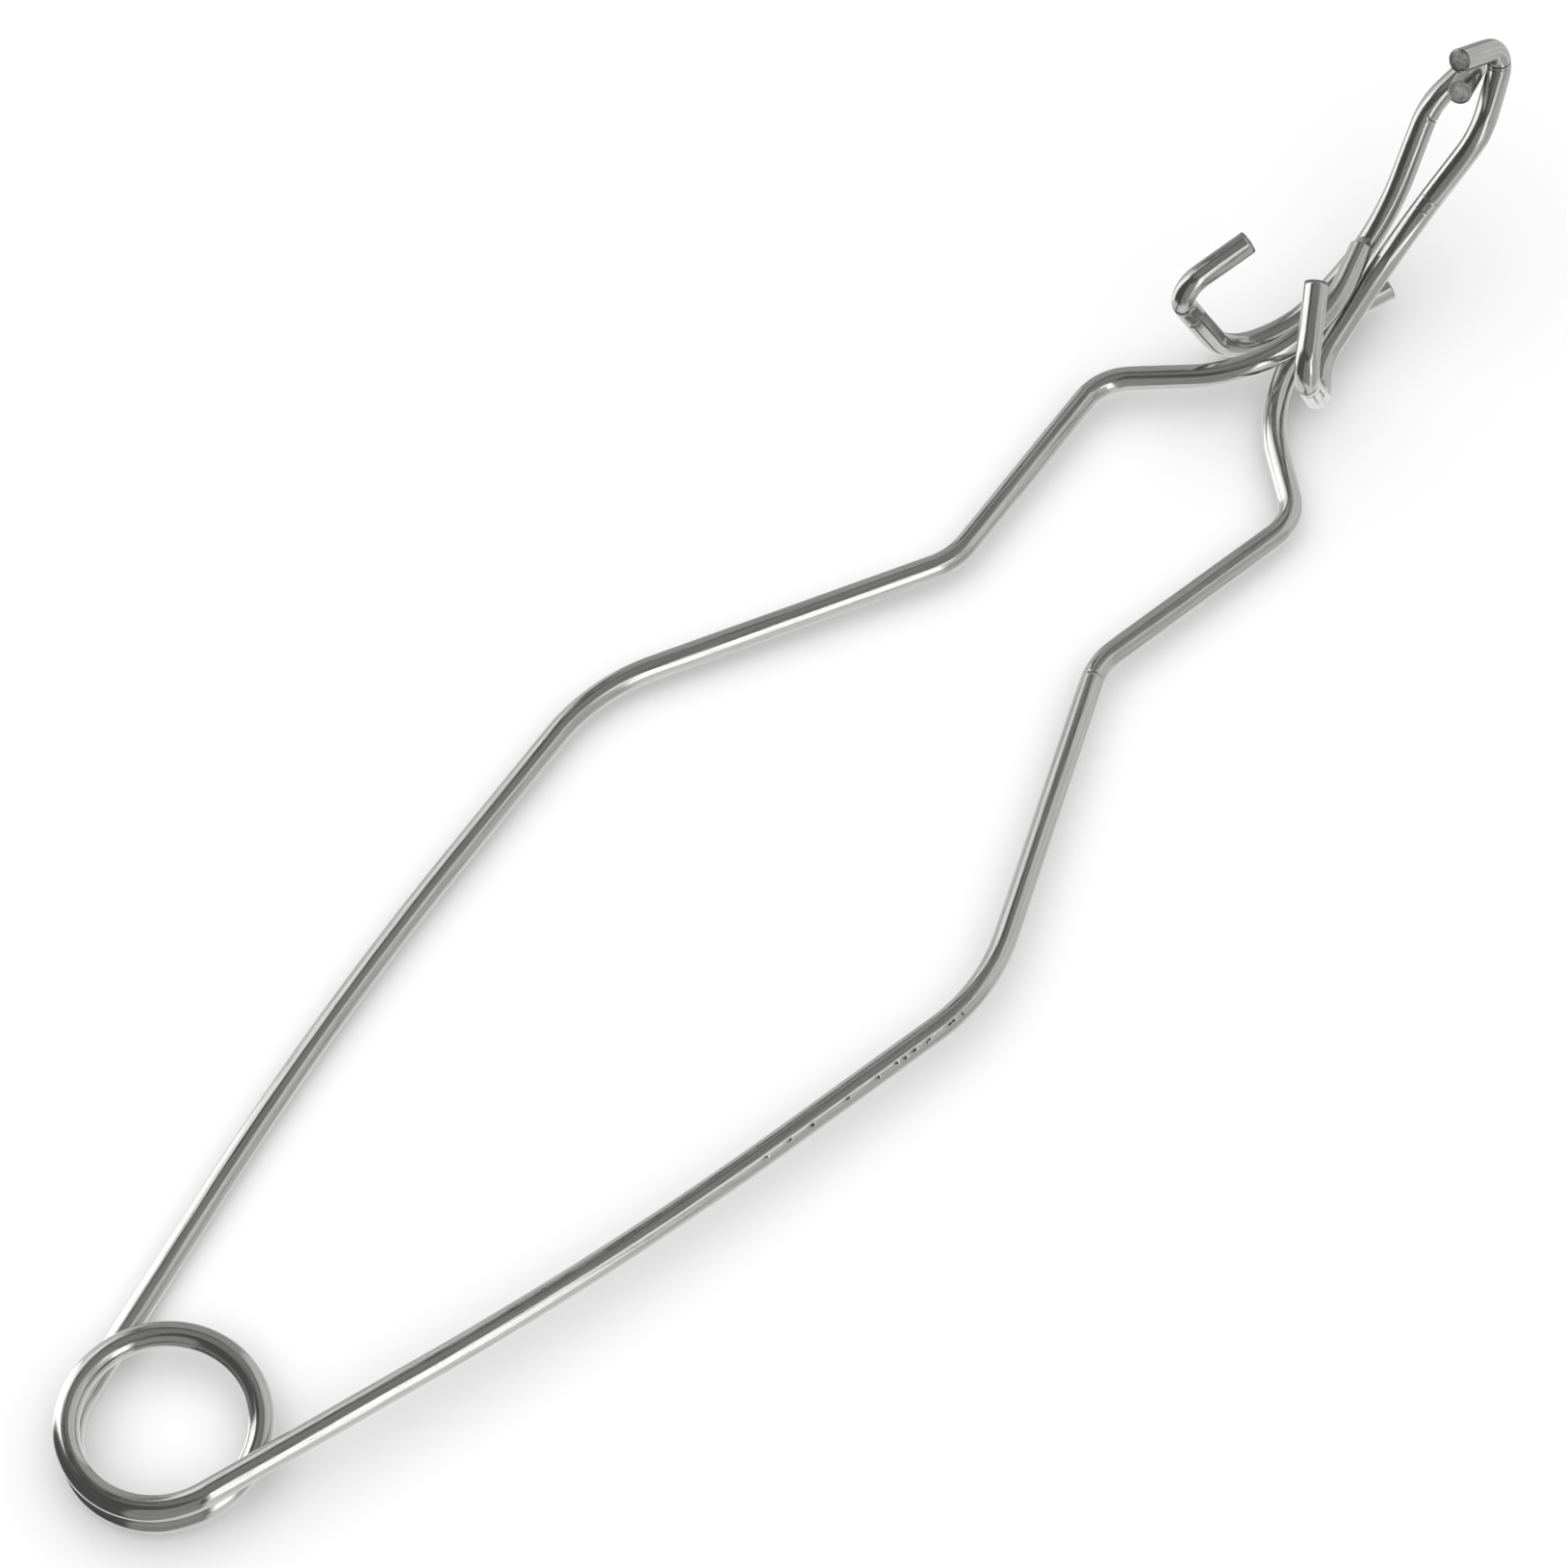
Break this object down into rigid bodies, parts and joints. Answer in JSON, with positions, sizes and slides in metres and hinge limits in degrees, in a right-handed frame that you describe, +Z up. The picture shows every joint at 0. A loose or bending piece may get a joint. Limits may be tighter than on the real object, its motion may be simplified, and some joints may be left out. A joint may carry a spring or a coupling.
{
  "type": "bent-wire dish tongs",
  "caption": "Sprung steel wire tongs with a coil at the handle end and hooked jaws that grip a small dish or crucible by its rim.",
  "frame": {"origin": "on the ground under the middle of the spring coil, at the lower mouth of the hanging eye", "axes": "+X along the middle line from the coil to the jaw tips, +Y towards the left lever, +Z up along the coil's axis"},
  "size_m": [0.363, 0.0966, 0.0526],
  "materials": {
    "wire_arm": "polished drawn wire",
    "wire_coil": "polished drawn wire",
    "wire_jaw": "polished drawn wire with sheared ends",
    "weld": "satin weld metal"
  },
  "bodies": {
    "right_lever": {"right_arm": "wire_arm", "right_jaw": "wire_jaw", "right_weld": "weld", "spring_coil": "wire_coil"},
    "left_lever": {"left_arm": "wire_arm", "left_jaw": "wire_jaw", "left_weld": "weld"}
  },
  "joints": [
    {"name": "coil_hinge", "type": "hinge", "parent": "right_lever", "child": "left_lever", "pos_m": [0, 0, 0], "axis": [0, 0, 1], "range_deg": [0, 14], "stiffness_Nm_per_rad": 12, "springref_deg": -2.86, "deforming": ["spring_coil"]}
  ]
}
